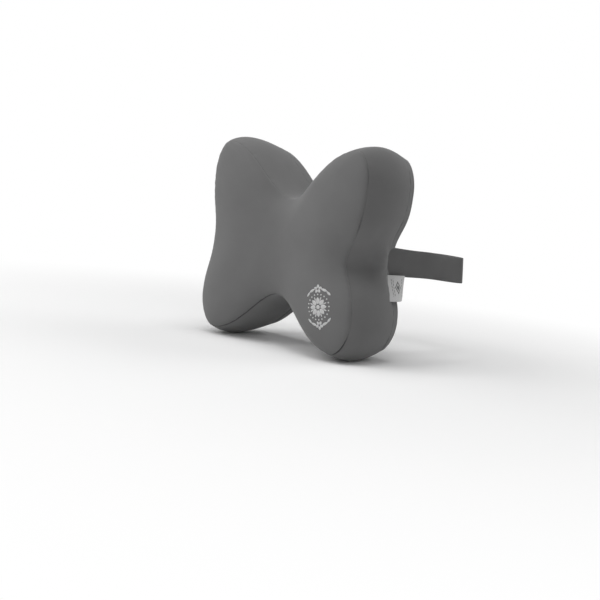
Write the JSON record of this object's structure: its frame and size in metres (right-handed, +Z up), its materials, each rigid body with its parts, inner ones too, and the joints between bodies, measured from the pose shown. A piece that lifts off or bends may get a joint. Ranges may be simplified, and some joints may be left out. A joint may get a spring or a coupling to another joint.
{
  "type": "car neck pillow",
  "caption": "Soft neck cushion with rounded lobes at its corners, a sewn knit cover with a back zip, and an elastic strap loop that ties it round posts behind it.",
  "frame": {"origin": "middle of the flat back face, level with the middle of the cushion", "axes": "+Y out of the flat back, +Z up as worn, +X to the side that carries the label; the front faces -Y"},
  "size_m": [0.2336, 0.2443, 0.2251],
  "materials": {
    "foam": "open-cell foam",
    "knit_fabric": "fine matt knit",
    "elastic_webbing": "woven elastic",
    "label_cloth": "woven label",
    "zip_tape": "woven tape",
    "zip_nylon": "satin nylon",
    "zip_metal": "dark plated metal"
  },
  "bodies": {
    "cushion": {"foam_core": "foam", "cover_front": "knit_fabric", "cover_gusset": "knit_fabric", "cover_back": "knit_fabric", "strap": "elastic_webbing", "side_label": "label_cloth", "zip_tape_upper": "zip_tape", "zip_tape_lower": "zip_tape", "zip_teeth_upper": "zip_nylon", "zip_teeth_lower": "zip_nylon", "zip_end_stop": "zip_metal"},
    "slider": {"zip_slider": "zip_metal"},
    "pull": {"zip_pull": "zip_metal"}
  },
  "joints": [
    {"name": "zip_slide", "type": "slide", "parent": "cushion", "child": "slider", "axis": [-1, 0, 0], "range_m": [0, 0.125]},
    {"name": "pull_hinge", "type": "hinge", "parent": "slider", "child": "pull", "pos_m": [0.0625, 0.0008, -0.03], "axis": [0, 0, -1], "range_deg": [0, 170]}
  ]
}
